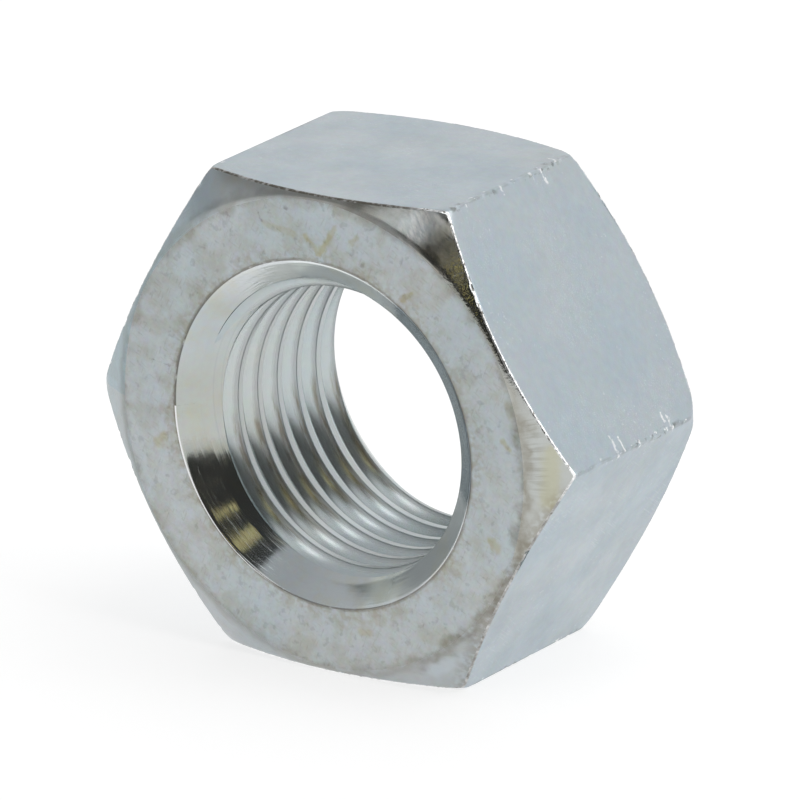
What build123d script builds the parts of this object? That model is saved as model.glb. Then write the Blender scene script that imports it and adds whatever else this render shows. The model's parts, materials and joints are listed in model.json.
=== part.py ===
from build123d import *
from build123d.topology import SkipClean

import os
from math import ceil, cos, radians, tan

# A plain hexagon nut, standing on one of its flats with the thread axis level.
# The origin is on the thread axis, halfway between the two bearing faces.
# X runs across two opposite corners, Y along the thread axis, Z up across flats.

# Driving dimensions, in millimetres and degrees
across_flats = 30.0
nut_height = 15.8
thread_diameter = 20.0
thread_pitch = 2.0
thread_flank_angle = 60.0
thread_offset = -0.17
countersink_overlap = 0.78
countersink_angle = 90.0
chamfer_inset = 0.33
chamfer_angle = 30.0
corner_radius = 0.25

# The nut's half of the thread is cut off flat: to an eighth of the pitch at the
# bottom of its groove, and to a quarter of the pitch at the crest of its ridge.
root_flat = thread_pitch / 8
crest_flat = thread_pitch / 4
flank_slope = tan(radians(thread_flank_angle / 2))
thread_depth = (thread_pitch - root_flat - crest_flat) / 2 / flank_slope
major_radius = thread_diameter / 2
minor_radius = major_radius - thread_depth

# The countersinks open a little wider than the thread, and the chamfers start a
# little inside the flats.
half_height = nut_height / 2
mouth_radius = major_radius + countersink_overlap
cone_depth = (mouth_radius - minor_radius) / tan(radians(countersink_angle / 2))
bearing_radius = across_flats / 2 - chamfer_inset
corner_reach = across_flats / 2 / cos(radians(30))
chamfer_depth = (corner_reach - bearing_radius) * tan(radians(chamfer_angle))

# The tap runs past both faces, and its walls come in quarter turns.
tap_half_length = half_height + thread_pitch
quarter_turn = 90


def hexagon_bar():
    """The hexagonal bar, with its six long edges slightly rounded."""
    outline = RegularPolygon(corner_reach, 6)
    outline = fillet(outline.vertices(), corner_radius)
    return extrude(outline, half_height, both=True)


def turned_envelope():
    """The round form that cuts the two cones of the chamfers on the corners."""
    outline = Polyline(
        (0, 0, -half_height),
        (bearing_radius, 0, -half_height),
        (corner_reach, 0, chamfer_depth - half_height),
        (corner_reach, 0, half_height - chamfer_depth),
        (bearing_radius, 0, half_height),
        (0, 0, half_height),
        close=True,
    )
    return revolve(make_face(outline), Axis.Z)


def countersunk_core():
    """The drilled hole that the tap starts from, with a countersink at each end."""
    outline = Polyline(
        (0, 0, -half_height),
        (mouth_radius, 0, -half_height),
        (minor_radius, 0, cone_depth - half_height),
        (minor_radius, 0, half_height - cone_depth),
        (mouth_radius, 0, half_height),
        (0, 0, half_height),
        close=True,
    )
    return revolve(make_face(outline), Axis.Z)


def thread_groove():
    """The helical groove of a right-hand thread, reaching a little into the hole."""
    reach = thread_depth / 4
    inner = minor_radius - reach
    inner_half = (thread_pitch - crest_flat) / 2 + reach * flank_slope
    turns_below = ceil(tap_half_length / thread_pitch)
    start = thread_offset - turns_below * thread_pitch
    outline = Polyline(
        (inner, 0, start - inner_half),
        (major_radius, 0, start - root_flat / 2),
        (major_radius, 0, start + root_flat / 2),
        (inner, 0, start + inner_half),
        close=True,
    )
    path = Helix(
        thread_pitch, 2 * turns_below * thread_pitch, major_radius, center=(0, 0, start)
    )
    return sweep(make_face(outline), path=path, is_frenet=True)


def tap():
    """The tap's own form: a rod of the hole's size with the groove standing on it."""
    length = 2 * (tap_half_length + 2 * thread_pitch)
    return Cylinder(minor_radius, length) + thread_groove()


def quarter_sector():
    """A quarter of a round that is larger than the tapped hole."""
    outline = Polyline(
        (0, 0, -tap_half_length),
        (corner_reach, 0, -tap_half_length),
        (corner_reach, 0, tap_half_length),
        (0, 0, tap_half_length),
        close=True,
    )
    return revolve(make_face(outline), Axis.Z, revolution_arc=quarter_turn)


def hex_nut():
    """The finished nut, laid over from its upright axis to stand on a flat."""
    nut = (hexagon_bar() & turned_envelope()) - countersunk_core()
    tap_form = tap()
    sector = quarter_sector()
    with SkipClean():
        for turn in range(0, 360, quarter_turn):
            nut = nut - (tap_form & (Rot(Z=turn) * sector))
    return Rot(X=-90) * nut


os.makedirs("parts", exist_ok=True)
export_step(hex_nut(), "parts/hex_nut.step")
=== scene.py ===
import json
import math

import bpy
import numpy as np
from mathutils import Matrix, Vector, noise


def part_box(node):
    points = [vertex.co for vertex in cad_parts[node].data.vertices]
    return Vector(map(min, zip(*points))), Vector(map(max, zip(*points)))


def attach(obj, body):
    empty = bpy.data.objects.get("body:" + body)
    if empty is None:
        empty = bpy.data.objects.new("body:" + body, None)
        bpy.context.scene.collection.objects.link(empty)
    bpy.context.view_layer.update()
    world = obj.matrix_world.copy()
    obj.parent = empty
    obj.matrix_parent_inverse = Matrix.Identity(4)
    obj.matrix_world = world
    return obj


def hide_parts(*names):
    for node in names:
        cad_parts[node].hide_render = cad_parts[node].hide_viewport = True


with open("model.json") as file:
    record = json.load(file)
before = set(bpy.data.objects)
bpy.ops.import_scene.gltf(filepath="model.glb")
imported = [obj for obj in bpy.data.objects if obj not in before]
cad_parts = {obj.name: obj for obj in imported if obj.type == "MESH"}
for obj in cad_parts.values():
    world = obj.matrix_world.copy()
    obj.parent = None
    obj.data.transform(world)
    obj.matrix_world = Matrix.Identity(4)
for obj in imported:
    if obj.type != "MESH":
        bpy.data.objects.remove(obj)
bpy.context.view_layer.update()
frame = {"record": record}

# Sizes are in millimetres here, and turn into metres where the mesh is made.
MM = 0.001
NODE = "hex_nut"

# From the frame: the nut's height, width across flats and the thread's hole, whose 90
# degree countersinks are as deep as they widen it
low_corner, high_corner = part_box(NODE)
half_height = (high_corner.y - low_corner.y) / 2 / MM
half_flats = (high_corner.z - low_corner.z) / 2 / MM
mounts = {mount["name"]: mount for mount in frame["record"]["mounts"]}
minor_radius = mounts["thread"]["dims"]["r_mm"]
mouth_radius = minor_radius + half_height - mounts["thread"]["dims"]["length_mm"] / 2

# The ISO thread on that hole, with the bottom of its groove filled a little
pitch = 2.0
thread_angle = math.radians(60)
flank_slope = math.tan(thread_angle / 2)
crest_flat = pitch / 4
root_flat = pitch / 8
root_fill = 0.3
thread_depth = (pitch - crest_flat - root_flat) / 2 / flank_slope - root_fill
thread_offset = 0.08

# The two sides of the nut, as the sign of y on each
FRONT = -1
BACK = 1

# This nut was tapped a little off its middle. How fast each countersink narrows with its
# depth, and how far off in x and z its middle is at the lean's depth
tapped_x = 0.02
tapped_z = -0.3
cone_slopes = {FRONT: 0.99, BACK: 0.725}
cone_leans = {FRONT: (-0.28, -0.345), BACK: (0.3, -0.13)}
lean_depth = 1.5

# The chamfers, which start a little inside the flats, and the hexagon's corners
chamfer_inset = 0.33
chamfer_angle = math.radians(30)
chamfer_slope = math.tan(chamfer_angle)
bearing_radius = half_flats - chamfer_inset
half_side_turn = math.radians(30)
corner_reach = half_flats / math.cos(half_side_turn)

# How softly the edges turn; where the chamfer is narrow, bend and rim take a share of it
corner_radius = 0.14
rim_setback = 0.11
rim_share = 0.3
bearing_bend = 0.5
bend_share = 0.45
mouth_bevel = 0.09
mouth_support = 0.1
crest_softness = 0.04

# How closely the mesh follows each part of the nut, how far from a rim the rows beside it
# lie, and from what angle on an edge is drawn sharp
FLAT_ROWS = 150
RING_ROWS = 7
CHAMFER_ROWS = 6
BEND_ROWS = 8
RIM_ROWS = 5
BORE_COLUMNS = 260
SUPPORT = 0.03
SHARP_ANGLE = math.radians(35)

# Where the thread has rows of points, as distances from its crest along the pitch, and
# the room that they leave at the mouths
THREAD_ROWS = (0, 0.12, 0.19, 0.23, 0.27, 0.32, 0.4, 0.6, 0.76, 0.86)
MOUTH_ROOM = 0.02

# How badly each of the six long edges is knocked, from the one on the +X side round through
# +Z, and how badly the rims are
EDGE_WEAR = (0.35, 0.55, 0.1, 0.4, 0.4, 0.4)
RIM_WEAR = 0.6

# How far from an edge and from a rim the knocks fade, and how deep ripples and dents go
EDGE_FADE = 0.22
RIM_FADE = 0.16
RIPPLE_DEPTH = 0.014
DENT_DEPTH = 0.3
DENT_THRESHOLD = 0.28

# How much of each corner's tip is worn away, front and back, in the order of the edges
TIPS = {
    FRONT: (0.07, 0.2, 0.08, 0.11, 0.07, 0.15),
    BACK: (0.25, 0.06, 0.08, 0.07, 0.08, 0.09),
}

# The plane that wears a tip away: how far it faces outwards and along the thread's axis,
# how far below the sharp tip it starts, how softly it cuts and how far round the tip
TIP_OUTWARDS = 0.87
TIP_ALONG = 0.5
TIP_START = 0.05
TIP_SOFTNESS = 0.08
TIP_AROUND = 0.6

# Marks on the front face: x and z of both ends, half the width, and how strong it is
RUST_MARKS = (
    (-0.65, 12.32, 0.33, 11.43, 0.28, 0.6),
    (0.33, 11.43, 1.18, 12.63, 0.36, 0.75),
    (-3.64, 12.65, -1.5, 12.35, 0.35, 0.4),
    (1.18, 12.63, 1.5, 13.2, 0.3, 0.5),
    (2.7, 12.5, 3.1, 12.9, 0.3, 0.5),
    (6.28, 9.5, 6.87, 9.97, 0.3, 0.6),
    (13.2, 1.9, 13.6, 1.5, 0.3, 0.6),
    (12.2, -4.5, 12.6, -4.9, 0.45, 0.6),
    (2.4, -12.0, 3.0, -11.9, 0.4, 0.5),
    (-12.3, -2.6, -11.8, -2.1, 0.5, 0.6),
)
DARK_MARKS = (
    (-4.05, 13.26, -3.78, 12.75, 0.1, 0.5),
    (-2.1, 13.9, -2.0, 13.9, 0.2, 0.6),
    (3.4, 11.2, 3.5, 11.2, 0.22, 0.5),
    (-12.53, 2.69, -10.9, 2.53, 0.09, 0.5),
    (9.5, -11.0, 9.6, -11.05, 0.25, 0.5),
)

# Nicks beside the long edges: the edge, which side of it, y, reach onto the flat and strength
EDGE_NICKS = (
    (1, -1, -1.0, 0.5, 0.8),
    (1, -1, 2.0, 0.5, 0.7),
    (1, -1, 3.0, 1.0, 1.0),
    (1, 1, 4.7, 0.6, 0.7),
    (0, 1, -1.9, 1.2, 0.8),
    (0, 1, -1.2, 1.0, 1.0),
    (0, 1, 3.2, 1.1, 1.0),
    (0, 1, 3.6, 0.8, 1.0),
)

# The zinc's colours: on each surface, where it is matt, deep in the bore, and where it is scratched,
# rubbed bright or bare, or dirty; the rims' brightness is partly a painted highlight, the lip's a
# painted highlight
FLATS_ZINC = (0.492, 0.546, 0.577)
RING_ZINC = (0.487, 0.522, 0.535)
CHAMFER_ZINC = (0.46, 0.49, 0.505)
BORE_ZINC = (0.53, 0.56, 0.565)
MATT_ZINC = (0.8, 0.84, 0.86)
DEEP_ZINC = (0.69, 0.715, 0.705)
SCRATCHED_ZINC = (0.72, 0.76, 0.78)
BARE_STEEL = (0.5, 0.515, 0.49)
RUBBED_BLUE = (0.52, 0.58, 0.63)
RUBBED_WARM = (0.9, 0.85, 0.8)
RIM_WEAR_AND_HIGHLIGHT = (0.97, 0.98, 0.98)
LIP_HIGHLIGHT = (0.95, 0.96, 0.97)
BRIGHT_NICK = (1.0, 1.0, 1.0)
DIRTY_RIM = (0.15, 0.14, 0.12)

# Tones that stains, dirt and painted shade multiply those colours by
RUST_TONE = (0.86, 0.75, 0.47)
STAIN_TONE = (0.98, 0.94, 0.76)
DARK_TONE = (0.45, 0.42, 0.38)
SPECK_TONE = (0.8, 0.8, 0.8)
HAIR_TONE = (0.75, 0.72, 0.67)
FUZZ_TONE = (0.83, 0.775, 0.69)
BORDER_FUZZ_AND_SHADE_TONE = (0.74, 0.7, 0.64)
GRIME_TONE = (0.64, 0.595, 0.53)
THREAD_GRIME_AND_SHADE_TONE = (0.5, 0.43, 0.33)
LIP_TONE = (0.54, 0.5, 0.45)
LIP_DIRT_TONE = (0.32, 0.3, 0.28)
EDGE_LINE_TONE = (0.62, 0.58, 0.53)
EDGE_PIT_TONE = (0.35, 0.33, 0.3)
TOP_RIM_TONE = (0.6, 0.56, 0.5)
RIGHT_RIM_TONE = (0.68, 0.63, 0.56)
HATCHING_TONE = (0.6, 0.57, 0.52)
TOOL_CIRCLE_TONE = (0.82, 0.84, 0.87)
INNER_EDGE_TONE = (0.42, 0.38, 0.33)

# Lamps in the world: the way to each, the angles where it is full and gone, and its colour
WORLD_LAMPS = (
    ((0.67, -0.35, 0.66), 1, 3.5, (0.95, 0.82, 0.42)),
    ((0.42, -0.31, 0.85), 2, 6, (0.7, 0.6, 0.3)),
    ((0.09, -0.91, 0.41), 2, 4.5, (1.2, 1.05, 0.48)),
    ((-0.24, -0.82, 0.52), 4, 9, (2.0, 2.0, 2.0)),
    ((0.02, -0.72, 0.69), 7, 12, (0.85, 0.85, 0.85)),
    ((-0.5, -0.82, 0.2), 10, 18, (0.95, 0.95, 0.95)),
    ((-0.11, 0.76, 0.64), 7, 15, (1.3, 1.3, 1.3)),
)

# The light all round, at the upper left, on the right, in the dark room in front and below
SOFT_WHITE = (0.92, 0.92, 0.92)
GREY_SIDE = (0.53, 0.54, 0.55)
BRIGHT_SIDE = (2.0, 2.0, 2.0)
DARK_ROOM = (0.05, 0.05, 0.048)
LIGHT_BELOW = (0.95, 0.95, 0.95)

# The floor, and how it looks and glows where the camera or a gloss sees it
FLOOR_REACH = 3.0
FLOOR_WHITE = (0.85, 0.85, 0.85)
SEEN_FLOOR = (0.4, 0.4, 0.4)
SEEN_GLOW = 0.71

# Where the photograph was taken from
CAMERA_AZIMUTH = 36.16
CAMERA_ELEVATION = 18.88
CAMERA_ROLL = -1.98
CAMERA_DISTANCE = 750.2
CAMERA_LENS = 564.15
AIM_RIGHT = 0.06
AIM_UP = -0.12


def graded(count, closeness):
    """Steps from 0 to 1 without the two ends, closer together towards both ends."""
    even = np.arange(1, count + 1) / (count + 1)
    return even - closeness / (2 * math.pi) * np.sin(2 * math.pi * even)


def outline(arc_points, near_steps, middle_points):
    """Angle and reach of points round the hexagon with its six rounded edges.

    near_steps are distances from a rounded edge at which more points stand."""
    corner_centre = (half_flats - corner_radius) / math.cos(half_side_turn)
    side_length = corner_centre
    near = np.array(near_steps) / side_length
    start = near[-1] if len(near) else 0
    middle = start + (1 - 2 * start) * np.arange(1, middle_points + 1) / (middle_points + 1)
    shares = np.concatenate([near, middle, 1 - near[::-1]])[:, None]
    points = []
    for corner in range(6):
        turn = math.radians(60 * corner)
        centre = corner_centre * np.array([math.cos(turn), math.sin(turn)])
        turns = turn + np.radians(np.linspace(-30, 30, arc_points))
        points.extend(centre + corner_radius * np.stack([np.cos(turns), np.sin(turns)], 1))
        after = math.radians(60 * (corner + 1))
        next_centre = corner_centre * np.array([math.cos(after), math.sin(after)])
        facing = turn + half_side_turn
        step = corner_radius * np.array([math.cos(facing), math.sin(facing)])
        points.extend((centre + step) * (1 - shares) + (next_centre + step) * shares)
    points = np.array(points)
    angles = np.arctan2(points[:, 1], points[:, 0]) % (2 * math.pi)
    order = np.argsort(angles)
    return angles[order], np.hypot(points[order, 0], points[order, 1])


def bezier(start, corner, end, rows):
    """A rounded corner: points from start to end that bend at the sharp corner."""
    share = np.linspace(0, 1, rows)[:, None, None]
    return (1 - share) ** 2 * start + 2 * share * (1 - share) * corner + share**2 * end


def chamfer_depth(radius):
    """How far below the face the chamfer's cone lies at a radius."""
    return (radius - bearing_radius) * chamfer_slope


def rim_size(reach):
    """How far the rounded rim goes onto the chamfer and the flat."""
    return np.minimum(rim_setback, rim_share * (reach - bearing_radius))


def rim_start(reach):
    """The radius where the chamfer ends and its rounded rim begins."""
    return reach - rim_size(reach) * math.cos(chamfer_angle)


def soft_bend(reach, bend):
    """Radius and depth, row by row, where the bearing ring bends into the chamfer."""
    flat = np.zeros_like(reach)
    on_cone = bearing_radius + bend * math.cos(chamfer_angle)
    return bezier(
        np.stack([bearing_radius - bend, flat], 1),
        np.stack([flat + bearing_radius, flat], 1),
        np.stack([on_cone, chamfer_depth(on_cone)], 1),
        BEND_ROWS,
    )


def soft_rim(reach):
    """Radius and depth, row by row, where the chamfer turns into the flats."""
    start = rim_start(reach)
    depth = chamfer_depth(reach)
    return bezier(
        np.stack([start, chamfer_depth(start)], 1),
        np.stack([reach, depth], 1),
        np.stack([reach, depth + rim_size(reach)], 1),
        RIM_ROWS,
    )


class Shell:
    """Collects the nut's points and faces, loop by loop."""

    def __init__(self):
        self.points = []
        self.faces = []
        self.regions = []

    def loop(self, angles, radius, y):
        """Adds one closed loop and gives back its point numbers and angles."""
        first = len(self.points)
        radius = np.broadcast_to(radius, angles.shape)
        y = np.broadcast_to(y, angles.shape)
        self.points.extend(np.stack([radius * np.cos(angles), y, radius * np.sin(angles)], 1))
        return np.arange(first, first + len(angles)), angles

    def face(self, corners, region):
        """Adds one face, unless its corners fall together."""
        corners = tuple(dict.fromkeys(int(corner) for corner in corners))
        if len(corners) > 2:
            self.faces.append(corners)
            self.regions.append(region)

    def bridge(self, lower, upper, region):
        """Faces between two closed loops, whose points may differ in number."""
        low, low_angles = lower
        up, up_angles = upper
        if len(low) == len(up):
            for k in range(len(low)):
                after = (k + 1) % len(low)
                self.face((low[k], low[after], up[after], up[k]), region)
            return
        low_next = np.append(low_angles[1:], math.inf)
        up_next = np.append(up_angles[1:], math.inf)
        i = 0
        j = 0
        while i < len(low) or j < len(up):
            low_turn = low_next[i] if i < len(low) else math.inf
            up_turn = up_next[j] if j < len(up) else math.inf
            here = low[i % len(low)]
            there = up[j % len(up)]
            if j >= len(up) or (i < len(low) and low_turn <= up_turn):
                self.face((here, low[(i + 1) % len(low)], there), region)
                i += 1
            else:
                self.face((here, up[(j + 1) % len(up)], there), region)
                j += 1

    def bridge_all(self, loops, region):
        """Faces between each loop and the next."""
        for lower, upper in zip(loops, loops[1:]):
            self.bridge(lower, upper, region)


def face_loops(shell, side):
    """One face: the bearing ring, its soft edge, the chamfer and the rim.

    Gives back the ring's first loop and the rim's last one."""
    angles, reach = outline(arc_points=5, near_steps=(0.05, 0.2), middle_points=34)
    fine_angles, fine_reach = outline(arc_points=7, near_steps=(), middle_points=170)

    def loop(radius, depth):
        return shell.loop(angles, radius, side * (half_height - depth))

    bend = np.minimum(bearing_bend, bend_share * (reach - bearing_radius))
    ring_start = mouth_radius + mouth_bevel + mouth_support
    ring_end = bearing_radius - bend
    ring = []
    for share in np.linspace(0, 1, RING_ROWS):
        ring.append(loop(ring_start + share * (ring_end - ring_start), 0))
    bent = soft_bend(reach, bend)
    bend_loops = [loop(row[:, 0], row[:, 1]) for row in bent[1:]]

    on_cone = bent[-1][:, 0]
    cone_end = rim_start(reach) - SUPPORT
    chamfer = []
    for share in np.linspace(0, 1, CHAMFER_ROWS + 1)[1:]:
        radius = on_cone + share * (cone_end - on_cone)
        chamfer.append(loop(radius, chamfer_depth(radius)))

    rim_loops = []
    for row in soft_rim(fine_reach):
        y = side * (half_height - row[:, 1])
        rim_loops.append(shell.loop(fine_angles, row[:, 0], y))

    half_bend = len(bend_loops) // 2
    runs = [
        ("ring", ring + bend_loops[:half_bend]),
        ("chamfer", bend_loops[half_bend - 1 :] + chamfer + rim_loops[:1]),
        ("rim", rim_loops),
    ]
    for region, loops in runs:
        shell.bridge_all(loops if side == FRONT else loops[::-1], region)
    return ring[0], rim_loops[-1]


def flat_loops(shell):
    """The loops up the six flats, from the front rim to the back one."""
    near_steps = (0.03, 0.1, 0.22, 0.45, 0.9)
    angles, reach = outline(arc_points=7, near_steps=near_steps, middle_points=6)
    start = half_height - chamfer_depth(reach) - rim_size(reach) - SUPPORT
    shares = np.concatenate([[0], graded(FLAT_ROWS, closeness=0.3), [1]])
    return [shell.loop(angles, reach, start * (2 * share - 1)) for share in shares]


def softly_above(value, limit):
    """How far a value is above a limit, with a small rounding where it starts."""
    return crest_softness * np.logaddexp(0, (value - limit) / crest_softness)


def thread_radius(along, angles):
    """How far out the thread lies at a distance along the pitch from a crest's middle."""
    phase = np.abs((along + pitch / 2) % pitch - pitch / 2)
    flank = softly_above((phase - crest_flat / 2) / flank_slope, 0)
    depth = flank - softly_above(flank, thread_depth)
    return minor_radius + depth + tapped_x * np.cos(angles) + tapped_z * np.sin(angles)


def cone_radius(y, angles):
    """How far out the countersink lies that the place is nearer to."""
    depth = half_height - np.abs(y)
    radii = []
    for side in (FRONT, BACK):
        lean_x, lean_z = cone_leans[side]
        lean = np.clip(depth / lean_depth, 0, 1) * (lean_x * np.cos(angles) + lean_z * np.sin(angles))
        radii.append(mouth_radius - depth * cone_slopes[side] + lean)
    return np.where(y < 0, radii[0], radii[1])


def bore_rows(angles):
    """Rows of the bore that follow the thread's helix, moved onto the countersinks' edges.

    Gives back each point's y, its distance from a crest along the pitch, a mask of the
    points on an edge, and how many rows there are to a turn."""
    around = sorted([-step for step in THREAD_ROWS[1:]] + [*THREAD_ROWS, pitch / 2])
    per_turn = len(around)
    turns = math.ceil(half_height / pitch) + 1
    along = np.array([turn * pitch + step for turn in range(-turns, turns + 1) for step in around])
    crest = thread_offset - pitch * (angles - math.pi) / (2 * math.pi)
    along = np.repeat(along[:, None], len(angles), 1)
    y = crest[None, :] + along
    gap = thread_radius(along, angles) - cone_radius(y, angles)
    rows, columns = np.nonzero(gap[:-1] * gap[1:] < 0)
    share = gap[rows, columns] / (gap[rows, columns] - gap[rows + 1, columns])
    step = y[rows + 1, columns] - y[rows, columns]
    shift = np.where(share < 0.5, share, share - 1) * step
    moved = rows + (share >= 0.5)
    y[moved, columns] += shift
    along[moved, columns] += shift
    edge = np.zeros(y.shape, bool)
    edge[moved, columns] = True
    return y, along, edge, per_turn


def mouth_loops(shell, side, angles):
    """The bevelled edge of one mouth, from the ring down to where the thread's rows begin."""
    depths = [0, 0.3 * mouth_bevel, mouth_bevel, mouth_bevel + mouth_support]
    radii = [mouth_radius + mouth_bevel, mouth_radius + mouth_bevel * 0.1]
    radii += [cone_radius(side * (half_height - depth), angles) for depth in depths[2:]]
    loops = [
        shell.loop(angles, radius, side * (half_height - depth))
        for radius, depth in zip(radii, depths)
    ]
    shell.bridge_all(loops[::-1] if side == FRONT else loops, "cone")
    return loops


def bore_points(shell, angles, y, radius, front, back):
    """Point numbers row by row; where a row is past a mouth it takes that mouth's points."""
    limit = half_height - mouth_bevel - mouth_support - MOUTH_ROOM
    index = np.empty(y.shape, int)
    for column, turn in enumerate(angles):
        for row in range(len(y)):
            if y[row, column] <= -limit:
                index[row, column] = front[column]
            elif y[row, column] >= limit:
                index[row, column] = back[column]
            else:
                index[row, column] = len(shell.points)
                reach = radius[row, column]
                place = (reach * math.cos(turn), y[row, column], reach * math.sin(turn))
                shell.points.append(place)
    return index


def bore_faces(shell, index, edge, over, per_turn):
    """Faces between the rows, split along the edges where thread and countersinks meet."""
    for row in range(len(index) - 1):
        for column in range(BORE_COLUMNS):
            right = (column + 1) % BORE_COLUMNS
            right_row = row if right else row - per_turn
            if right_row < 0:
                continue
            around = ((row, column), (row + 1, column), (right_row + 1, right), (right_row, right))
            pieces = [around]
            if edge[around[0]] and edge[around[2]]:
                pieces = [around[:3], (around[2], around[3], around[0])]
            elif edge[around[1]] and edge[around[3]]:
                pieces = [around[1:], (around[3], around[0], around[1])]
            for piece in pieces:
                coned = sum(over[place] for place in piece) > 0
                shell.face([index[place] for place in piece], "cone" if coned else "thread")


def bore(shell):
    """The thread and both countersinks; gives back the loops at the two mouths."""
    angles = np.arange(BORE_COLUMNS) * 2 * math.pi / BORE_COLUMNS
    front = mouth_loops(shell, FRONT, angles)
    back = mouth_loops(shell, BACK, angles)
    y, along, edge, per_turn = bore_rows(angles)
    thread = thread_radius(along, angles)
    cone = cone_radius(y, angles)
    radius = np.maximum(thread, cone)
    index = bore_points(shell, angles, y, radius, front[-1][0], back[-1][0])
    over = np.where(edge, 0, cone - thread)
    bore_faces(shell, index, edge, over, per_turn)
    return front[0], back[0]


def knocks(place):
    """How deep chance ripples and dents cut into an edge at a place, before its own wear."""
    spot = Vector(place)
    ripple = noise.noise(spot * 3.5) + 0.6 * noise.noise(spot * 8.3)
    dents = noise.noise(spot * 1.9 + Vector((5.2, 1.7, 8.4)))
    return RIPPLE_DEPTH * max(0, 1 + ripple) + DENT_DEPTH * max(0, dents - DENT_THRESHOLD)


def knocked(x, y, z):
    """A point's place once the rims and long edges near it are knocked in."""
    radius = math.hypot(x, z)
    if radius < bearing_radius + 0.2:
        return x, y, z
    turn = math.atan2(z, x)
    corner = round(turn / math.radians(60)) % 6
    corner_turn = math.radians(60 * corner)
    off_corner = math.hypot(
        x - corner_reach * math.cos(corner_turn), z - corner_reach * math.sin(corner_turn)
    )
    from_middle = (math.degrees(turn) % 60) - 30
    reach = half_flats / math.cos(math.radians(from_middle))
    off_rim = math.hypot(reach - radius, half_height - abs(y) - chamfer_depth(reach))
    at_corner = math.exp(-((off_corner / EDGE_FADE) ** 2)) * EDGE_WEAR[corner]
    at_rim = math.exp(-((off_rim / RIM_FADE) ** 2)) * RIM_WEAR
    depth = knocks((x, y, z)) * max(at_corner, at_rim)
    inward = depth / 2 if at_rim > at_corner else 0
    scale = 1 - depth / radius
    side = FRONT if y < 0 else BACK
    return x * scale, y - side * inward, z * scale


def wear_tips(points):
    """Wears the tips of the twelve corners away, each along its own leaning plane."""
    tip_y = half_height - chamfer_depth(corner_reach)
    start = corner_reach * TIP_OUTWARDS + tip_y * TIP_ALONG - TIP_START
    for side, tips in TIPS.items():
        for corner, tip in enumerate(tips):
            turn = math.radians(60 * corner)
            x = math.cos(turn) * TIP_OUTWARDS
            z = math.sin(turn) * TIP_OUTWARDS
            out = np.array([x, side * TIP_ALONG, z])
            over = points @ out - (start - tip)
            cut = TIP_SOFTNESS * np.logaddexp(0, over / TIP_SOFTNESS)
            points -= np.where(over > -TIP_AROUND, cut, 0)[:, None] * out


def nut_mesh():
    """The whole nut as one closed mesh: its points, faces and the region of each face."""
    shell = Shell()
    front_ring, front_rim = face_loops(shell, FRONT)
    back_ring, back_rim = face_loops(shell, BACK)
    flats = flat_loops(shell)
    shell.bridge_all([front_rim] + flats + [back_rim], "flats")
    front_mouth, back_mouth = bore(shell)
    shell.bridge(front_mouth, front_ring, "ring")
    shell.bridge(back_ring, back_mouth, "ring")
    points = np.array([knocked(*point) for point in shell.points])
    wear_tips(points)
    points = np.clip(points, np.array(low_corner) / MM, np.array(high_corner) / MM)
    return points, shell.faces, shell.regions


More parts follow.
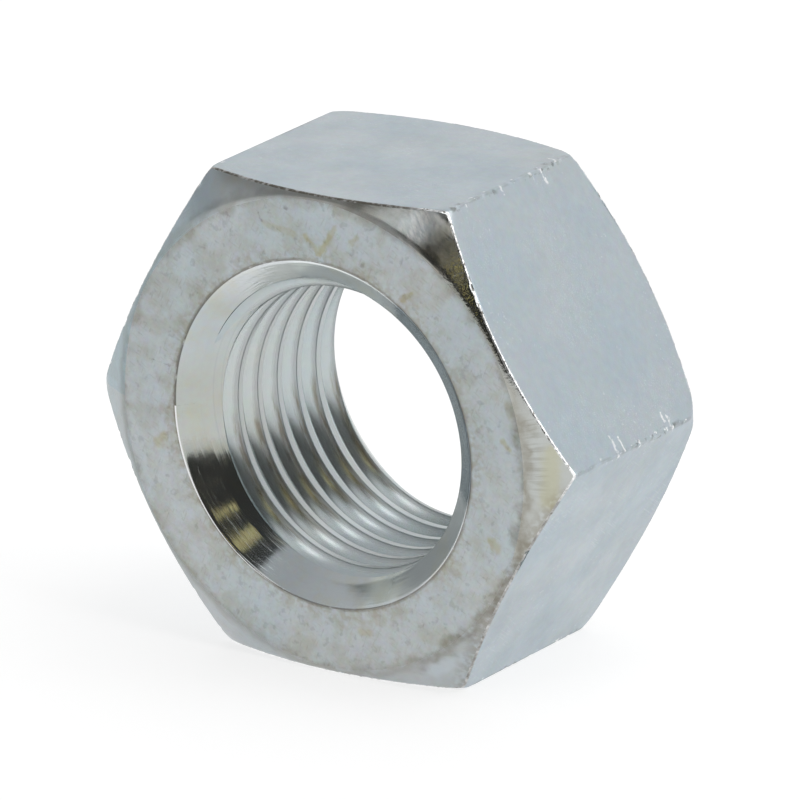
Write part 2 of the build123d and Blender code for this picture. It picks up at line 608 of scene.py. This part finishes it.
class Graph:
    """Adds shader nodes to one tree; each call gives back an output that others can take."""

    def __init__(self, tree):
        self.tree = tree

    def add(self, kind, inputs, output=0, **settings):
        """Adds one node, with its inputs by number or name."""
        node = self.tree.nodes.new("ShaderNode" + kind)
        for name, value in settings.items():
            setattr(node, name, value)
        for key, value in inputs.items():
            self.feed(node.inputs[key], value)
        return node.outputs[output]

    def feed(self, socket, value):
        """Links another node's output to the socket, or sets a number or colour on it."""
        if isinstance(value, bpy.types.NodeSocket):
            self.tree.links.new(value, socket)
        elif socket.type == "RGBA":
            socket.default_value = (*value, 1)
        else:
            socket.default_value = value

    def math(self, operation, first, second=0.0):
        return self.add("Math", {0: first, 1: second}, operation=operation)

    def vector(self, operation, first, second=(0, 0, 0)):
        """Vector arithmetic, which gives a vector or, for some operations, a number."""
        number = operation in ("DOT_PRODUCT", "DISTANCE", "LENGTH")
        inputs = {0: first, 1: second}
        return self.add("VectorMath", inputs, output=int(number), operation=operation)

    def joined(self, x, y=0.0, z=0.0):
        """The place with these coordinates."""
        return self.add("CombineXYZ", {0: x, 1: y, 2: z})

    def combined(self, operation, values):
        """All values, combined from the first to the last."""
        result = values[0]
        for value in values[1:]:
            result = self.math(operation, result, value)
        return result

    def times(self, *values):
        return self.combined("MULTIPLY", values)

    def plus(self, *values):
        return self.combined("ADD", values)

    def most(self, *values):
        return self.combined("MAXIMUM", values)

    def parts(self, place):
        """The x, y and z of a place or direction."""
        node = self.tree.nodes.new("ShaderNodeSeparateXYZ")
        self.tree.links.new(place, node.inputs[0])
        return node.outputs

    def ramp(self, value, low, high, bottom=0.0, top=1.0):
        """Bottom up to low and top from high on, with a smooth change between."""
        inputs = {"Value": value, "From Min": low, "From Max": high, "To Min": bottom, "To Max": top}
        return self.add("MapRange", inputs, interpolation_type="SMOOTHSTEP")

    def share(self, value, whole):
        """How much of the whole a value is, from 0 to 1."""
        return self.add("Clamp", {"Value": self.times(value, 1 / whole)})

    def band(self, value, middle, half_width):
        """A mask that is 1 in the middle of a band and fades to both sides."""
        away = self.math("ABSOLUTE", self.math("SUBTRACT", value, middle))
        return self.ramp(away, half_width, 0.0)

    def mix(self, share, first, second):
        """The first colour, replaced by the second as far as the share says."""
        inputs = {0: share, 6: first, 7: second}
        return self.add("Mix", inputs, output=2, data_type="RGBA")

    def tint(self, share, colour, tone, strength=1.0):
        """The colour, multiplied by a tone as far as the share and the strength say."""
        inputs = {0: self.times(share, strength), 6: colour, 7: tone}
        return self.add("Mix", inputs, output=2, data_type="RGBA", blend_type="MULTIPLY")

    def noise(self, place, scale, detail=2.0, roughness=0.5):
        inputs = {"Vector": place, "Scale": scale, "Detail": detail, "Roughness": roughness}
        return self.add("TexNoise", inputs)

    def scaled(self, place, factor):
        return self.add("VectorMath", {0: place, "Scale": factor}, operation="SCALE")

    def moved(self, place, offset):
        return self.vector("ADD", place, offset)

    def stretched(self, place, turn, scale):
        """The place turned by angles in degrees, then scaled along each axis."""
        rotation = tuple(math.radians(angle) for angle in turn)
        turned = self.add("Mapping", {"Vector": place, "Rotation": rotation})
        return self.vector("MULTIPLY", turned, scale)

    def drifting(self, place, scale, amount):
        """A factor round 1 for each of red, green and blue, which drift separately."""
        inputs = {"Vector": place, "Scale": scale, "Detail": 3.0}
        drift = self.add("TexNoise", inputs, output=1)
        ends = {0: drift, 1: (amount,) * 3, 2: (1 - amount / 2,) * 3}
        return self.add("VectorMath", ends, operation="MULTIPLY_ADD")


class ZincGraph(Graph):
    """The shader of one kind of zinc-plated surface, with places given in millimetres."""

    def __init__(self, name):
        self.material = bpy.data.materials.new(name)
        self.material.use_nodes = True
        super().__init__(self.material.node_tree)
        self.shader = self.tree.nodes["Principled BSDF"]
        self.shader.inputs["Metallic"].default_value = 1.0
        self.place = self.scaled(self.add("TexCoord", {}, output="Object"), 1 / MM)
        self.x, self.y, self.z = self.parts(self.place)
        squares = self.plus(self.math("POWER", self.x, 2), self.math("POWER", self.z, 2))
        self.radius = self.math("SQRT", squares)
        self.turn = self.times(self.math("ARCTAN2", self.z, self.x), 180 / math.pi)
        self.front = self.ramp(self.y, 0.2, -0.2)

    def finish(self, colour, roughness, height):
        """height is the relief in millimetres."""
        bump = self.add("Bump", {"Height": self.times(height, MM), "Distance": 1.0})
        self.feed(self.shader.inputs["Base Color"], colour)
        self.feed(self.shader.inputs["Roughness"], roughness)
        self.feed(self.shader.inputs["Normal"], bump)
        return self.material

    def plated_colour(self, base, drift=0.12):
        """The passivated zinc's colour, with its faint drifts to blue, pink and yellow."""
        cool = self.patches(0.16, 0.35, 0.65)
        pink = self.patches(0.3, 0.5, 0.72, (31, 7, 12))
        warm = self.patches(0.24, 0.5, 0.75, (3, 47, 22))
        colour = self.tint(cool, base, (0.95, 0.985, 1.01))
        colour = self.tint(pink, colour, (1.0, 0.97, 1.0), 0.35)
        colour = self.tint(warm, colour, (1.0, 0.995, 0.95), 0.6)
        return self.vector("MULTIPLY", colour, self.drifting(self.place, 2.4, drift))

    def patches(self, scale, low, high, offset=(0, 0, 0)):
        """A mask of irregular patches that chance puts on the surface."""
        return self.ramp(self.noise(self.moved(self.place, offset), scale, 3.0), low, high)

    def scratches(self, turn, length, width, rarity):
        """A mask of thin straight marks, which run the way the turned x axis does."""
        place = self.stretched(self.place, turn, (1 / length, 1 / width, 1 / width))
        return self.ramp(self.noise(place, 1.0, 1.0), rarity, rarity + 0.06)

    def sector(self, start, end):
        """A mask of the turn round the axis from one angle to another, on the front half."""
        after = self.ramp(self.turn, start - 3, start + 3)
        before = self.ramp(self.turn, end + 3, end - 3)
        return self.times(after, before, self.front)

    def radial_streaks(self, width):
        """Noise in streaks that run outwards; the width is in degrees of turn."""
        place = self.joined(self.times(self.turn, 1 / width), self.times(self.radius, 0.4))
        return self.noise(place, 1.0, 2.0)

    def mark(self, start, end, half_width):
        """A mask of one mark, drawn through space from one place to another."""
        wander = self.add("TexNoise", {"Vector": self.place, "Scale": 2.2, "Detail": 3.0}, output=1)
        sway = {0: wander, 1: (0.5, 0.5, 0.5), 2: (-0.25, -0.25, -0.25)}
        away = self.add("VectorMath", sway, operation="MULTIPLY_ADD")
        away = self.moved(self.moved(self.place, away), -start)
        along = end - start
        unit = along / along.length_squared
        share = self.vector("DOT_PRODUCT", away, unit)
        nearest = self.scaled(along, self.add("Clamp", {"Value": share}))
        distance = self.vector("DISTANCE", away, nearest)
        return self.ramp(distance, half_width, half_width * 0.2)

    def front_marks(self, places):
        """A mask of several marks on the front face; each place ends with the mark's strength."""
        mask = 0.0
        for start_x, start_z, end_x, end_z, half_width, strength in places:
            one = self.mark(on_front(start_x, start_z), on_front(end_x, end_z), half_width)
            mask = self.most(mask, self.times(one, strength))
        return mask

    def edge_nicks(self):
        """A mask of the short strokes where the long edges were knocked."""
        mask = 0.0
        for corner, side, y, reach, strength in EDGE_NICKS:
            turn = math.radians(60 * corner)
            start = Vector((math.cos(turn), 0, math.sin(turn))) * corner_reach
            onward = turn + side * math.radians(120)
            end = start + Vector((math.cos(onward), 0, math.sin(onward))) * reach
            rise = Vector((0, y, 0))
            one = self.mark(start + rise, end + rise * 1.03, 0.13)
            mask = self.most(mask, self.times(one, strength))
        return mask


def on_front(x, z):
    """The place on the front face over x and z."""
    return Vector((x, max(0, chamfer_depth(math.hypot(x, z))) - half_height, z))


def flats_material():
    """The six flats: clouded zinc with fine marks, and worn long edges."""
    graph = ZincGraph("zinc_flats")
    clouds = graph.noise(graph.place, 0.35, 5.0, 0.6)
    grain = graph.noise(graph.place, 7.0, 3.0)
    fine = graph.noise(graph.place, 1.6, 4.0, 0.6)
    colour = graph.plated_colour(FLATS_ZINC, drift=0.17)
    colour = graph.tint(graph.ramp(clouds, 0.3, 0.7), colour, (0.955, 0.96, 0.965))
    colour = graph.tint(graph.ramp(fine, 0.35, 0.7), colour, (0.965, 0.965, 0.965))
    marks = graph.scratches((20, 35, 70), 1.8, 0.06, 0.64)
    more_marks = graph.scratches((75, -20, 10), 1.2, 0.06, 0.66)
    marks = graph.times(graph.most(marks, more_marks), graph.patches(0.25, 0.45, 0.6, (9, 9, 1)))
    specks = graph.times(graph.patches(5.0, 0.62, 0.7), graph.patches(0.3, 0.5, 0.62, (1, 8, 8)))
    bright = graph.most(graph.times(marks, 0.5), graph.times(specks, 0.8))
    colour = graph.mix(graph.times(bright, 0.6), colour, SCRATCHED_ZINC)
    colour = worn_corners(graph, colour)
    roughness = graph.ramp(clouds, 0.25, 0.75, 0.3, 0.42)
    relief = graph.plus(graph.times(grain, 0.009), graph.times(fine, 0.012))
    return graph.finish(colour, roughness, graph.plus(relief, graph.times(marks, -0.004)))


def worn_corners(graph, colour):
    """Bright nicks, dark pits and a thin dark line along the six long edges."""
    edge = graph.ramp(graph.radius, corner_reach - 0.11, corner_reach - 0.05)
    wide_edge = graph.ramp(graph.radius, corner_reach - 0.2, corner_reach - 0.08)
    nicks = graph.times(wide_edge, graph.patches(2.3, 0.64, 0.7, (4, 9, 2)))
    nicks = graph.most(nicks, graph.times(graph.edge_nicks(), graph.patches(3.0, 0.35, 0.5)))
    pits = graph.times(wide_edge, graph.patches(2.7, 0.52, 0.6, (13, 3, 21)))
    front_end = graph.times(graph.sector(56, 64), graph.band(graph.y, -5.2, 1.6))
    pits = graph.times(pits, graph.most(front_end, graph.patches(0.35, 0.5, 0.6, (2, 2, 7))))
    line = graph.times(edge, graph.patches(0.9, 0.35, 0.6))
    colour = graph.tint(line, colour, EDGE_LINE_TONE, 0.4)
    colour = graph.tint(pits, colour, EDGE_PIT_TONE, 0.65)
    return graph.mix(graph.times(nicks, 0.75), colour, BRIGHT_NICK)


def rim_material():
    """The rims between chamfer and flats: worn bright, their brightness partly a painted highlight,
    or dark with dirt in two places.
    """
    graph = ZincGraph("zinc_rims")
    dirty = graph.most(graph.sector(66, 121), graph.times(graph.sector(-61, -4), 0.7))
    uneven = graph.noise(graph.place, 2.6, 3.0, 0.6)
    dirty = graph.times(dirty, graph.ramp(uneven, 0.35, 0.55, 0.6, 1.0))
    pits = graph.times(graph.patches(2.6, 0.6, 0.66, (2, 17, 8)), 0.85)
    # The rims' bright colour, varied in patches, is partly a painted highlight
    glint = graph.ramp(graph.noise(graph.place, 3.0, 3.0, 0.7), 0.35, 0.6, 0.55, 1.0)
    colour = graph.mix(graph.most(dirty, pits), graph.scaled(RIM_WEAR_AND_HIGHLIGHT, glint), DIRTY_RIM)
    relief = graph.times(graph.noise(graph.place, 5.0, 3.0), 0.03)
    return graph.finish(colour, 0.28, relief)


def ring_border_dirt_and_shade(graph, colour):
    """Brown fuzzy dirt and painted shade where the ring turns into the chamfer, with dirt on the
    right.
    """
    uneven = graph.plus(graph.radius, graph.ramp(graph.noise(graph.place, 0.8, 4.0), 0, 1, -0.7, 0.7))
    # Brown dirt and painted shade in a band along the bend into the chamfer
    fuzz_and_shade = graph.band(uneven, bearing_radius + 0.1, 0.75)
    colour = graph.tint(fuzz_and_shade, colour, BORDER_FUZZ_AND_SHADE_TONE, 0.7)
    grime_and_shade = graph.times(graph.band(uneven, bearing_radius - 0.05, 0.65), graph.sector(-64, 16))
    patchy = graph.ramp(graph.noise(graph.place, 2.6, 4.0), 0.3, 0.7, 0.35, 1.0)
    return graph.tint(graph.times(grime_and_shade, patchy, 0.65), colour, GRIME_TONE)


def ring_dirt(graph, colour):
    """Brown fuzzy dirt round the mouth of the hole, and a dirty line on its lip."""
    reach = graph.ramp(graph.noise(graph.place, 0.5, 4.0, 0.6), 0.3, 0.7, 0.3, 2.6)
    off_mouth = graph.math("SUBTRACT", graph.radius, mouth_radius)
    near_mouth = graph.ramp(graph.math("DIVIDE", off_mouth, reach), 1.0, 0.1)
    fuzz_and_shade = graph.times(near_mouth, graph.patches(2.8, 0.4, 0.6, (2, 6, 1)))
    hairs = graph.ramp(graph.radial_streaks(1.3), 0.45, 0.65)
    fuzz_and_shade = graph.most(graph.times(fuzz_and_shade, 0.75), graph.times(hairs, near_mouth, 0.35))
    colour = graph.tint(fuzz_and_shade, colour, FUZZ_TONE)
    lip = graph.ramp(graph.radius, mouth_radius + 0.26, mouth_radius + 0.1)
    lip = graph.times(lip, graph.patches(0.7, 0.3, 0.5, (3, 3, 9)))
    return graph.tint(lip, colour, LIP_TONE, 0.75)


def ring_material():
    """The bearing rings: blotched and speckled, with rust marks, dirt at both borders, painted shade
    at the outer border and painted shade towards the top.
    """
    graph = ZincGraph("zinc_ring")
    grain = graph.noise(graph.place, 5.0, 3.0, 0.6)
    blotches = graph.noise(graph.place, 0.55, 5.0, 0.62)
    colour = graph.plated_colour(RING_ZINC, drift=0.18)
    # Painted shade: the rings are darker towards the top
    colour = graph.tint(graph.ramp(graph.z, -9.0, 4.0), colour, (0.93, 0.935, 0.935))
    colour = graph.tint(graph.ramp(blotches, 0.42, 0.62), colour, (0.97, 0.935, 0.87))
    colour = graph.tint(graph.ramp(grain, 0.35, 0.65), colour, (0.955, 0.955, 0.955))
    specks = graph.patches(1.9, 0.6, 0.68, (5, 5, 5))
    colour = graph.tint(specks, colour, SPECK_TONE, 0.7)
    hairs = graph.scratches((0, 65, 0), 0.8, 0.09, 0.65)
    hairs = graph.most(hairs, graph.scratches((0, -30, 0), 0.8, 0.09, 0.65))
    colour = graph.tint(hairs, colour, HAIR_TONE, 0.4)
    colour = graph.tint(graph.front_marks(RUST_MARKS), colour, RUST_TONE)
    colour = graph.tint(graph.front_marks(DARK_MARKS), colour, DARK_TONE)
    colour = ring_border_dirt_and_shade(graph, ring_dirt(graph, colour))
    roughness = graph.ramp(blotches, 0.3, 0.7, 0.34, 0.48)
    relief = graph.plus(graph.times(grain, 0.012), graph.times(blotches, 0.018))
    return graph.finish(colour, roughness, relief)


def turned_relief(graph, along):
    """Fine tool lines where a distance stays the same, such as a radius."""
    place = graph.joined(along, graph.times(graph.turn, 0.01))
    return graph.times(graph.noise(place, 6.5, 2.0, 0.65), 0.006)


def chamfer_painted_shade_and_wear(graph, colour):
    """Painted shade on the front chamfer, darker at the upper right, upper left and left; and where
    its zinc is worn off, bare steel.
    """
    # Painted shade at the upper right of the front chamfer
    colour = graph.tint(graph.sector(62, 82), colour, (0.64, 0.63, 0.61))
    colour = graph.mix(graph.times(graph.sector(-22, 24), 0.8), colour, BARE_STEEL)
    # Painted shade on the upper left and the left of the front chamfer
    upper_left = graph.times(graph.ramp(graph.turn, 112, 125), graph.front)
    colour = graph.tint(upper_left, colour, (0.86, 0.94, 0.98))
    off_right = graph.math("ABSOLUTE", graph.turn)
    left = graph.times(graph.ramp(off_right, 125, 145), graph.front)
    return graph.tint(left, colour, (0.84, 0.88, 0.89))


def chamfer_wear(graph, colour):
    """Dirt along the top rim, a stain, hatching and places worn by rubbing on the front chamfer."""
    top_rim = graph.times(graph.sector(66, 118), graph.ramp(graph.z, 13.9, 14.9))
    colour = graph.tint(top_rim, colour, TOP_RIM_TONE, 0.7)
    stain = graph.mark(on_front(15.9, -1.6), on_front(16.1, 1.4), 0.9)
    colour = graph.tint(stain, colour, STAIN_TONE, 0.9)
    rubbed_and_highlit = graph.mark(on_front(7.3, -13.7), on_front(8.5, -13.0), 0.7)
    colour = graph.mix(graph.times(rubbed_and_highlit, 0.5), colour, RUBBED_BLUE)
    hatching = graph.ramp(graph.radial_streaks(0.55), 0.45, 0.6)
    hatched = graph.band(graph.radius, bearing_radius + 0.7, 0.8)
    hatching = graph.times(hatching, hatched, graph.sector(-4, 14), 0.4)
    colour = graph.tint(hatching, colour, HATCHING_TONE)
    along_rim = graph.stretched(graph.place, (0, 120, 0), (0.5, 5.0, 5.0))
    rubs = graph.times(graph.ramp(graph.noise(along_rim, 1.0, 2.0), 0.4, 0.65), graph.sector(50, 66))
    return graph.mix(graph.times(rubs, 0.15), colour, RUBBED_WARM)


def right_rim_dirt(graph, colour):
    """Patchy dirt on the front chamfer along the rim of the lower right flat."""
    out_x = graph.times(graph.x, math.cos(half_side_turn))
    out_z = graph.times(graph.z, -math.sin(half_side_turn))
    rim = graph.times(graph.sector(-62, -3), graph.ramp(graph.plus(out_x, out_z), 13.9, 14.9))
    rim = graph.times(rim, graph.patches(2.2, 0.3, 0.6, (4, 4, 2)), 0.7)
    return graph.tint(rim, colour, RIGHT_RIM_TONE)


def chamfer_material():
    """The turned chamfers: glossy, with painted shade in several directions and grit at the upper
    right corner in front.
    """
    graph = ZincGraph("zinc_chamfer")
    blotches = graph.noise(graph.place, 0.8, 4.0, 0.6)
    colour = graph.plated_colour(CHAMFER_ZINC)
    colour = graph.tint(graph.ramp(blotches, 0.4, 0.65), colour, (0.97, 0.95, 0.92))
    colour = chamfer_wear(graph, chamfer_painted_shade_and_wear(graph, colour))
    colour = right_rim_dirt(graph, ring_border_dirt_and_shade(graph, colour))
    # Painted shade: the front chamfer's upper right is darker and browner
    colour = graph.tint(graph.sector(26, 60), colour, (0.8, 0.77, 0.7))
    grit = graph.times(graph.sector(20, 52), graph.noise(graph.place, 4.0, 2.0, 0.6), 0.024)
    waves = graph.times(graph.noise(graph.place, 0.8, 2.0), 0.006)
    relief = graph.plus(turned_relief(graph, graph.radius), grit, waves)
    roughness = graph.ramp(blotches, 0.3, 0.7, 0.13, 0.22)
    return graph.finish(colour, roughness, relief)


def matt_parts(graph):
    """A mask of the countersinks' right, top and lowest parts, which have lost their gloss."""
    right = graph.ramp(graph.plus(graph.x, graph.times(graph.z, 0.15)), 0.0, 4.5)
    top = graph.ramp(graph.z, 6.5, 10.0)
    lowest = graph.times(graph.ramp(graph.x, -3.5, 1.5), graph.ramp(graph.z, -6.0, -9.0), 0.45)
    return graph.most(right, top, lowest)


def cone_painted_light_and_shade(graph, colour):
    """Painted shade and painted light on the front countersink: darker on the right, lighter at the
    top and just right of the bottom, darker and warmer at the lower left.
    """
    colour = graph.tint(graph.sector(-14, 58), colour, (0.38, 0.43, 0.47))
    colour = graph.tint(graph.sector(64, 100), colour, (1.2, 1.23, 1.24))
    colour = graph.tint(graph.sector(-77, -62), colour, (1.22, 1.24, 1.24))
    low_left = graph.times(graph.ramp(graph.x, -5.0, -8.5), graph.ramp(graph.z, 4.5, 1.0))
    return graph.tint(low_left, colour, (0.88, 0.87, 0.81))


def cone_lip(graph, colour):
    """Dirt round the countersinks' outer edge, and a painted highlight on it at the lower left in
    front.
    """
    lip = graph.ramp(graph.radius, mouth_radius - 0.03, mouth_radius + 0.02)
    dirt = graph.times(lip, graph.patches(1.6, 0.2, 0.45, (8, 2, 2)))
    colour = graph.tint(dirt, colour, LIP_DIRT_TONE)
    # Painted highlight on the countersink's lip at the lower left in front
    rubbed_and_highlit = graph.times(graph.ramp(graph.turn, -108, -122), graph.front)
    return graph.mix(graph.times(rubbed_and_highlit, lip, 0.8), colour, LIP_HIGHLIGHT)


def cone_lines(graph):
    """The countersinks' tool lines, coarse at the lower left and worn smooth lowest down."""
    coarse = graph.times(graph.ramp(graph.x, -5.0, -8.0), graph.ramp(graph.z, -1.0, -3.5))
    strength = graph.ramp(coarse, 0, 1, 1.6, 2.7)
    smooth = graph.ramp(graph.sector(-100, -66), 0.0, 1.0, 1.0, 0.15)
    return graph.times(turned_relief(graph, graph.radius), strength, smooth)


def cone_material():
    """The countersinks: turned bright, and partly matt."""
    graph = ZincGraph("zinc_countersink")
    blotches = graph.noise(graph.place, 0.6, 4.0, 0.6)
    matt = matt_parts(graph)
    colour = graph.mix(matt, graph.plated_colour(BORE_ZINC), MATT_ZINC)
    # Painted shade and painted light on the front countersink, by direction
    colour = cone_painted_light_and_shade(graph, colour)
    graph.feed(graph.shader.inputs["Metallic"], graph.ramp(matt, 0.0, 1.0, 1.0, 0.6))
    colour = graph.tint(graph.ramp(blotches, 0.45, 0.7), colour, (1.0, 0.97, 0.88))
    circles = graph.ramp(graph.noise(graph.joined(graph.radius), 3.1, 2.0), 0.55, 0.66)
    colour = graph.tint(circles, colour, TOOL_CIRCLE_TONE, 0.5)
    colour = cone_lip(graph, colour)
    roughness = graph.ramp(blotches, 0.3, 0.7, 0.1, 0.16)
    relief = graph.plus(cone_lines(graph), graph.times(blotches, 0.006))
    return graph.finish(colour, roughness, relief)


def off_countersink(graph):
    """A mask of the narrow line along the front countersink's inner edge."""
    depth = graph.plus(graph.y, half_height)
    lean_x, lean_z = cone_leans[FRONT]
    across = graph.plus(graph.times(graph.x, lean_x), graph.times(graph.z, lean_z))
    lean = graph.times(graph.math("DIVIDE", across, graph.radius), graph.share(depth, lean_depth))
    cone = graph.plus(graph.times(depth, -cone_slopes[FRONT]), mouth_radius, lean)
    return graph.ramp(graph.math("SUBTRACT", graph.radius, cone), 0.2, 0.05)


def groove_depth(graph):
    """How far outside the crests a place is, from the axis that the thread was tapped on."""
    off_axis = graph.moved(graph.place, (-tapped_x, 0, -tapped_z))
    off_axis = graph.vector("MULTIPLY", off_axis, (1, 0, 1))
    return graph.math("SUBTRACT", graph.vector("LENGTH", off_axis), minor_radius)


def thread_grime_and_shade(graph, depth, helix):
    """A mask of streaky brown dirt and painted shade beside the crests at the lower left."""
    beside_crest = graph.times(graph.ramp(depth, 0.03, 0.12), graph.ramp(depth, 0.5, 0.25))
    place = graph.joined(graph.times(depth, 7.0), graph.times(graph.turn, 0.12), helix)
    streaks = graph.ramp(graph.noise(place, 1.0, 3.0), 0.38, 0.6)
    grimy_and_shaded = graph.times(graph.ramp(graph.turn, -108, -130), graph.ramp(graph.turn, -176, -165))
    return graph.times(beside_crest, grimy_and_shaded, graph.plus(0.35, streaks))


def thread_material():
    """The thread: paler inside than at the front, with painted shade on its crests, and brown dirt
    and painted shade beside them.
    """
    graph = ZincGraph("zinc_thread")
    inside = graph.ramp(graph.y, -6.3, -5.6)
    colour = graph.plated_colour(graph.mix(inside, BORE_ZINC, DEEP_ZINC))
    graph.feed(graph.shader.inputs["Metallic"], graph.ramp(inside, 0.0, 1.0, 1.0, 0.75))
    depth = groove_depth(graph)
    groove = graph.ramp(depth, 0.1, 0.4)
    # Painted shade: the crests are darker, toning down their highlights
    colour = graph.tint(graph.math("SUBTRACT", 1.0, groove), colour, (0.8, 0.81, 0.82))
    colour = graph.tint(groove, colour, (0.93, 0.965, 0.975))
    helix = graph.plus(graph.y, graph.times(graph.turn, pitch / 360))
    # Streaky brown dirt and painted shade beside the crests at the lower left
    grime_and_shade = thread_grime_and_shade(graph, depth, helix)
    colour = graph.tint(grime_and_shade, colour, THREAD_GRIME_AND_SHADE_TONE, 0.6)
    inner_edge = graph.times(off_countersink(graph), graph.sector(-178, -50))
    colour = graph.tint(inner_edge, colour, INNER_EDGE_TONE, 0.75)
    roughness = graph.ramp(groove, 0.0, 1.0, 0.32, 0.2)
    return graph.finish(colour, roughness, turned_relief(graph, graph.plus(graph.radius, helix)))


def floor_piece():
    """A plain white floor under the nut, which shows white to the camera and in gloss."""
    sides = [(-1, -1), (1, -1), (1, 1), (-1, 1)]
    corners = [(x * FLOOR_REACH, y * FLOOR_REACH, low_corner.z) for x, y in sides]
    mesh = bpy.data.meshes.new("floor")
    mesh.from_pydata(corners, [], [(0, 1, 2, 3)])
    floor = bpy.data.objects.new("floor", mesh)
    bpy.context.scene.collection.objects.link(floor)
    material = bpy.data.materials.new("floor_white")
    material.use_nodes = True
    graph = Graph(material.node_tree)
    shader = material.node_tree.nodes["Principled BSDF"]
    shader.inputs["Roughness"].default_value = 1.0
    shader.inputs["Specular IOR Level"].default_value = 0.0
    shader.inputs["Emission Color"].default_value = (1, 1, 1, 1)
    rays = graph.tree.nodes.new("ShaderNodeLightPath").outputs
    seen = graph.most(rays["Is Camera Ray"], rays["Is Glossy Ray"], rays["Is Transmission Ray"])
    graph.feed(shader.inputs["Base Color"], graph.mix(seen, FLOOR_WHITE, SEEN_FLOOR))
    graph.feed(shader.inputs["Emission Strength"], graph.times(seen, SEEN_GLOW))
    mesh.materials.append(material)


def room_light(graph, direction):
    """White light all round: greyer at the upper left, brighter on the right, dark in front."""
    x, y, z = graph.parts(direction)
    front = graph.ramp(y, 0.45, 0.3)
    near = graph.ramp(y, -0.17, -0.23)
    left = graph.ramp(graph.math("SUBTRACT", x, graph.times(z, 0.7)), -0.5, -0.58)
    grey = graph.times(front, left, graph.ramp(z, 0.1, 0.2))
    light = graph.mix(grey, SOFT_WHITE, GREY_SIDE)
    right = graph.times(graph.ramp(x, 0.0, 0.15), graph.math("SUBTRACT", 1.0, near), front)
    light = graph.mix(right, light, BRIGHT_SIDE)
    not_left = graph.math("SUBTRACT", 1.0, left)
    room = graph.times(not_left, graph.ramp(z, 0.09, 0.14), near)
    return graph.mix(room, light, DARK_ROOM)


def with_lamps(graph, direction, light):
    """The light with the soft round lamps in it."""
    for toward, inner, outer, colour in WORLD_LAMPS:
        toward = Vector(toward).normalized()
        cosine = graph.vector("DOT_PRODUCT", direction, toward)
        inner = math.cos(math.radians(inner))
        outer = math.cos(math.radians(outer))
        light = graph.mix(graph.ramp(cosine, outer, inner), light, colour)
    return light


def studio_world():
    """The studio's light, which the camera itself sees as plain white."""
    world = bpy.data.worlds.new("studio")
    bpy.context.scene.world = world
    world.use_nodes = True
    graph = Graph(world.node_tree)
    direction = graph.add("TexCoord", {}, output="Generated")
    light = with_lamps(graph, direction, room_light(graph, direction))
    below = graph.ramp(graph.parts(direction)[2], 0.0, -0.01)
    light = graph.mix(below, light, LIGHT_BELOW)
    seen = graph.add("LightPath", {}, output="Is Camera Ray")
    light = graph.mix(seen, light, (1.0, 1.0, 1.0))
    background = world.node_tree.nodes["Background"]
    graph.feed(background.inputs["Color"], light)
    background.inputs["Strength"].default_value = 1.0


def photo_camera():
    """A camera far off with a long lens, at the photograph's angle."""
    azimuth = math.radians(CAMERA_AZIMUTH)
    elevation = math.radians(CAMERA_ELEVATION)
    roll = math.radians(CAMERA_ROLL)
    back = Vector(
        (
            math.sin(azimuth) * math.cos(elevation),
            -math.cos(azimuth) * math.cos(elevation),
            math.sin(elevation),
        )
    )
    right = Vector((math.cos(azimuth), math.sin(azimuth), 0))
    up = back.cross(right)
    turned_right = right * math.cos(roll) + up * math.sin(roll)
    turned_up = up * math.cos(roll) - right * math.sin(roll)
    place = back * CAMERA_DISTANCE + turned_right * AIM_RIGHT + turned_up * AIM_UP
    data = bpy.data.cameras.new("camera")
    data.lens = CAMERA_LENS
    data.sensor_width = 36
    data.clip_start = 0.01
    camera = bpy.data.objects.new("camera", data)
    bpy.context.scene.collection.objects.link(camera)
    matrix = np.eye(4)
    matrix[:3, 0] = turned_right
    matrix[:3, 1] = turned_up
    matrix[:3, 2] = back
    matrix[:3, 3] = np.array(place) * MM
    camera.matrix_world = Matrix(matrix.tolist())
    bpy.context.scene.camera = camera


def nut_piece():
    """The nut as one object, with a material for each region of its surface."""
    points, faces, regions = nut_mesh()
    mesh = bpy.data.meshes.new("nut")
    mesh.from_pydata([tuple(point) for point in points * MM], [], faces)
    materials = {
        "ring": ring_material(),
        "chamfer": chamfer_material(),
        "rim": rim_material(),
        "flats": flats_material(),
        "cone": cone_material(),
        "thread": thread_material(),
    }
    for material in materials.values():
        mesh.materials.append(material)
    order = list(materials)
    for polygon, region in zip(mesh.polygons, regions):
        polygon.use_smooth = True
        polygon.material_index = order.index(region)
    mesh.set_sharp_from_angle(angle=SHARP_ANGLE)
    piece = bpy.data.objects.new("nut", mesh)
    bpy.context.scene.collection.objects.link(piece)
    return piece


nut = nut_piece()
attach(nut, "root")
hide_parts(NODE)

floor_piece()
studio_world()
photo_camera()
bpy.context.scene.view_settings.view_transform = "Standard"
